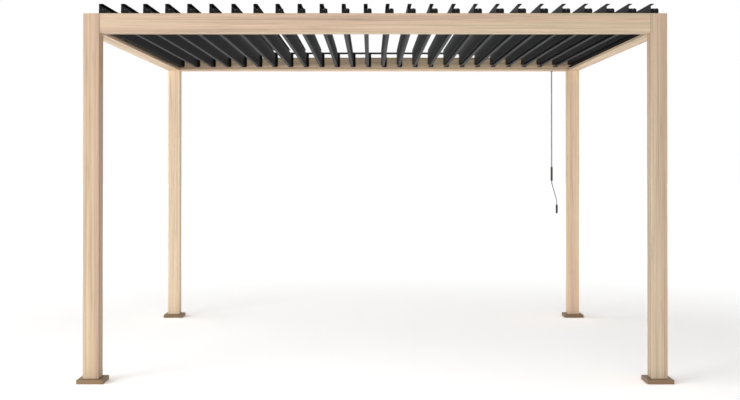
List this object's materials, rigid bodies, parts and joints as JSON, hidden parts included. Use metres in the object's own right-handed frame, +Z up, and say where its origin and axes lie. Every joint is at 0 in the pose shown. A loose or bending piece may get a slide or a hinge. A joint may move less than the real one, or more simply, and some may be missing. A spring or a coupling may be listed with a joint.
{
  "type": "pergola",
  "caption": "Freestanding pergola with square posts, a ring of gutter beams, a roof of turning louvres joined by a tie bar, and a hanging hand crank.",
  "frame": {"origin": "middle of the footprint on the ground, under the four base covers", "axes": "+X to the right along the wider side, +Y from the front to the back along the louvres, +Z up"},
  "size_m": [4.018, 3.218, 2.57],
  "materials": {
    "frame": "wood-look coating, light oak grain, satin",
    "base_cover": "brown satin powder coat",
    "louvre": "anthracite fine-texture powder coat",
    "linkage": "dark powder coat",
    "gearbox": "cast housing",
    "crank_metal": "light grey coated tube",
    "grip": "black plastic"
  },
  "bodies": {
    "frame": {"post_front_left": "frame", "post_front_right": "frame", "post_back_left": "frame", "post_back_right": "frame", "base_front_left": "base_cover", "base_front_right": "base_cover", "base_back_left": "base_cover", "base_back_right": "base_cover", "beam_front": "frame", "beam_back": "frame", "beam_left": "frame", "beam_right": "frame", "pivot_rail_front": "frame", "pivot_rail_back": "frame", "gearbox": "gearbox"},
    "louvre_01": {"louvre_01": "louvre"},
    "louvre_02": {"louvre_02": "louvre"},
    "louvre_03": {"louvre_03": "louvre"},
    "louvre_04": {"louvre_04": "louvre"},
    "louvre_05": {"louvre_05": "louvre"},
    "louvre_06": {"louvre_06": "louvre"},
    "louvre_07": {"louvre_07": "louvre"},
    "louvre_08": {"louvre_08": "louvre"},
    "louvre_09": {"louvre_09": "louvre"},
    "louvre_10": {"louvre_10": "louvre"},
    "louvre_11": {"louvre_11": "louvre"},
    "louvre_12": {"louvre_12": "louvre"},
    "louvre_13": {"louvre_13": "louvre"},
    "louvre_14": {"louvre_14": "louvre"},
    "louvre_15": {"louvre_15": "louvre"},
    "louvre_16": {"louvre_16": "louvre"},
    "louvre_17": {"louvre_17": "louvre"},
    "louvre_18": {"louvre_18": "louvre"},
    "louvre_19": {"louvre_19": "louvre"},
    "louvre_20": {"louvre_20": "louvre"},
    "louvre_21": {"louvre_21": "louvre"},
    "louvre_22": {"louvre_22": "louvre"},
    "louvre_23": {"louvre_23": "louvre"},
    "louvre_24": {"louvre_24": "louvre"},
    "louvre_25": {"louvre_25": "louvre"},
    "louvre_26": {"louvre_26": "louvre"},
    "tie_bar": {"tie_bar": "linkage"},
    "crank": {"crank_rod": "crank_metal", "crank_arm": "crank_metal"},
    "crank_grip": {"crank_grip": "grip"},
    "crank_handle": {"crank_handle": "grip"}
  },
  "joints": [
    {"name": "louvre_25_turn", "type": "hinge", "parent": "frame", "child": "louvre_25", "pos_m": [1.732, 0, 2.49], "axis": [0, 1, 0], "range_deg": [0, 90]},
    {"name": "louvre_01_turn", "type": "hinge", "parent": "frame", "child": "louvre_01", "pos_m": [-1.868, 0, 2.49], "axis": [0, 1, 0], "range_deg": [0, 90]},
    {"name": "louvre_02_turn", "type": "hinge", "parent": "frame", "child": "louvre_02", "pos_m": [-1.718, 0, 2.49], "axis": [0, 1, 0], "range_deg": [0, 90]},
    {"name": "louvre_03_turn", "type": "hinge", "parent": "frame", "child": "louvre_03", "pos_m": [-1.568, 0, 2.49], "axis": [0, 1, 0], "range_deg": [0, 90]},
    {"name": "louvre_04_turn", "type": "hinge", "parent": "frame", "child": "louvre_04", "pos_m": [-1.418, 0, 2.49], "axis": [0, 1, 0], "range_deg": [0, 90]},
    {"name": "louvre_05_turn", "type": "hinge", "parent": "frame", "child": "louvre_05", "pos_m": [-1.268, 0, 2.49], "axis": [0, 1, 0], "range_deg": [0, 90]},
    {"name": "louvre_06_turn", "type": "hinge", "parent": "frame", "child": "louvre_06", "pos_m": [-1.118, 0, 2.49], "axis": [0, 1, 0], "range_deg": [0, 90]},
    {"name": "louvre_07_turn", "type": "hinge", "parent": "frame", "child": "louvre_07", "pos_m": [-0.968, 0, 2.49], "axis": [0, 1, 0], "range_deg": [0, 90]},
    {"name": "louvre_08_turn", "type": "hinge", "parent": "frame", "child": "louvre_08", "pos_m": [-0.818, 0, 2.49], "axis": [0, 1, 0], "range_deg": [0, 90]},
    {"name": "louvre_09_turn", "type": "hinge", "parent": "frame", "child": "louvre_09", "pos_m": [-0.668, 0, 2.49], "axis": [0, 1, 0], "range_deg": [0, 90]},
    {"name": "louvre_10_turn", "type": "hinge", "parent": "frame", "child": "louvre_10", "pos_m": [-0.518, 0, 2.49], "axis": [0, 1, 0], "range_deg": [0, 90]},
    {"name": "louvre_11_turn", "type": "hinge", "parent": "frame", "child": "louvre_11", "pos_m": [-0.368, 0, 2.49], "axis": [0, 1, 0], "range_deg": [0, 90]},
    {"name": "louvre_12_turn", "type": "hinge", "parent": "frame", "child": "louvre_12", "pos_m": [-0.218, 0, 2.49], "axis": [0, 1, 0], "range_deg": [0, 90]},
    {"name": "louvre_13_turn", "type": "hinge", "parent": "frame", "child": "louvre_13", "pos_m": [-0.068, 0, 2.49], "axis": [0, 1, 0], "range_deg": [0, 90]},
    {"name": "louvre_14_turn", "type": "hinge", "parent": "frame", "child": "louvre_14", "pos_m": [0.082, 0, 2.49], "axis": [0, 1, 0], "range_deg": [0, 90]},
    {"name": "louvre_15_turn", "type": "hinge", "parent": "frame", "child": "louvre_15", "pos_m": [0.232, 0, 2.49], "axis": [0, 1, 0], "range_deg": [0, 90]},
    {"name": "louvre_16_turn", "type": "hinge", "parent": "frame", "child": "louvre_16", "pos_m": [0.382, 0, 2.49], "axis": [0, 1, 0], "range_deg": [0, 90]},
    {"name": "louvre_17_turn", "type": "hinge", "parent": "frame", "child": "louvre_17", "pos_m": [0.532, 0, 2.49], "axis": [0, 1, 0], "range_deg": [0, 90]},
    {"name": "louvre_18_turn", "type": "hinge", "parent": "frame", "child": "louvre_18", "pos_m": [0.682, 0, 2.49], "axis": [0, 1, 0], "range_deg": [0, 90]},
    {"name": "louvre_19_turn", "type": "hinge", "parent": "frame", "child": "louvre_19", "pos_m": [0.832, 0, 2.49], "axis": [0, 1, 0], "range_deg": [0, 90]},
    {"name": "louvre_20_turn", "type": "hinge", "parent": "frame", "child": "louvre_20", "pos_m": [0.982, 0, 2.49], "axis": [0, 1, 0], "range_deg": [0, 90]},
    {"name": "louvre_21_turn", "type": "hinge", "parent": "frame", "child": "louvre_21", "pos_m": [1.132, 0, 2.49], "axis": [0, 1, 0], "range_deg": [0, 90]},
    {"name": "louvre_22_turn", "type": "hinge", "parent": "frame", "child": "louvre_22", "pos_m": [1.282, 0, 2.49], "axis": [0, 1, 0], "range_deg": [0, 90]},
    {"name": "louvre_23_turn", "type": "hinge", "parent": "frame", "child": "louvre_23", "pos_m": [1.432, 0, 2.49], "axis": [0, 1, 0], "range_deg": [0, 90]},
    {"name": "louvre_24_turn", "type": "hinge", "parent": "frame", "child": "louvre_24", "pos_m": [1.582, 0, 2.49], "axis": [0, 1, 0], "range_deg": [0, 90]},
    {"name": "louvre_26_turn", "type": "hinge", "parent": "frame", "child": "louvre_26", "pos_m": [1.882, 0, 2.49], "axis": [0, 1, 0], "range_deg": [0, 90]},
    {"name": "tie_bar_swing", "type": "hinge", "parent": "louvre_25", "child": "tie_bar", "pos_m": [1.728, 1.485, 2.527], "axis": [0, 1, 0], "range_deg": [-90, 0]},
    {"name": "crank_turn", "type": "hinge", "parent": "frame", "child": "crank", "pos_m": [1.724, 1.548, 2.3], "axis": [0, 0, 1], "continuous": true},
    {"name": "upper_grip_spin", "type": "hinge", "parent": "crank", "child": "crank_grip", "pos_m": [1.724, 1.548, 1.376], "axis": [0, 0, 1], "continuous": true},
    {"name": "lower_grip_spin", "type": "hinge", "parent": "crank", "child": "crank_handle", "pos_m": [1.758, 1.464, 1.04], "axis": [0, 0, 1], "continuous": true}
  ],
  "couplings": [
    {"joint": "louvre_01_turn", "follows": "louvre_25_turn", "ratio": 1},
    {"joint": "louvre_02_turn", "follows": "louvre_25_turn", "ratio": 1},
    {"joint": "louvre_03_turn", "follows": "louvre_25_turn", "ratio": 1},
    {"joint": "louvre_04_turn", "follows": "louvre_25_turn", "ratio": 1},
    {"joint": "louvre_05_turn", "follows": "louvre_25_turn", "ratio": 1},
    {"joint": "louvre_06_turn", "follows": "louvre_25_turn", "ratio": 1},
    {"joint": "louvre_07_turn", "follows": "louvre_25_turn", "ratio": 1},
    {"joint": "louvre_08_turn", "follows": "louvre_25_turn", "ratio": 1},
    {"joint": "louvre_09_turn", "follows": "louvre_25_turn", "ratio": 1},
    {"joint": "louvre_10_turn", "follows": "louvre_25_turn", "ratio": 1},
    {"joint": "louvre_11_turn", "follows": "louvre_25_turn", "ratio": 1},
    {"joint": "louvre_12_turn", "follows": "louvre_25_turn", "ratio": 1},
    {"joint": "louvre_13_turn", "follows": "louvre_25_turn", "ratio": 1},
    {"joint": "louvre_14_turn", "follows": "louvre_25_turn", "ratio": 1},
    {"joint": "louvre_15_turn", "follows": "louvre_25_turn", "ratio": 1},
    {"joint": "louvre_16_turn", "follows": "louvre_25_turn", "ratio": 1},
    {"joint": "louvre_17_turn", "follows": "louvre_25_turn", "ratio": 1},
    {"joint": "louvre_18_turn", "follows": "louvre_25_turn", "ratio": 1},
    {"joint": "louvre_19_turn", "follows": "louvre_25_turn", "ratio": 1},
    {"joint": "louvre_20_turn", "follows": "louvre_25_turn", "ratio": 1},
    {"joint": "louvre_21_turn", "follows": "louvre_25_turn", "ratio": 1},
    {"joint": "louvre_22_turn", "follows": "louvre_25_turn", "ratio": 1},
    {"joint": "louvre_23_turn", "follows": "louvre_25_turn", "ratio": 1},
    {"joint": "louvre_24_turn", "follows": "louvre_25_turn", "ratio": 1},
    {"joint": "louvre_26_turn", "follows": "louvre_25_turn", "ratio": 1},
    {"joint": "tie_bar_swing", "follows": "louvre_25_turn", "ratio": -1}
  ]
}
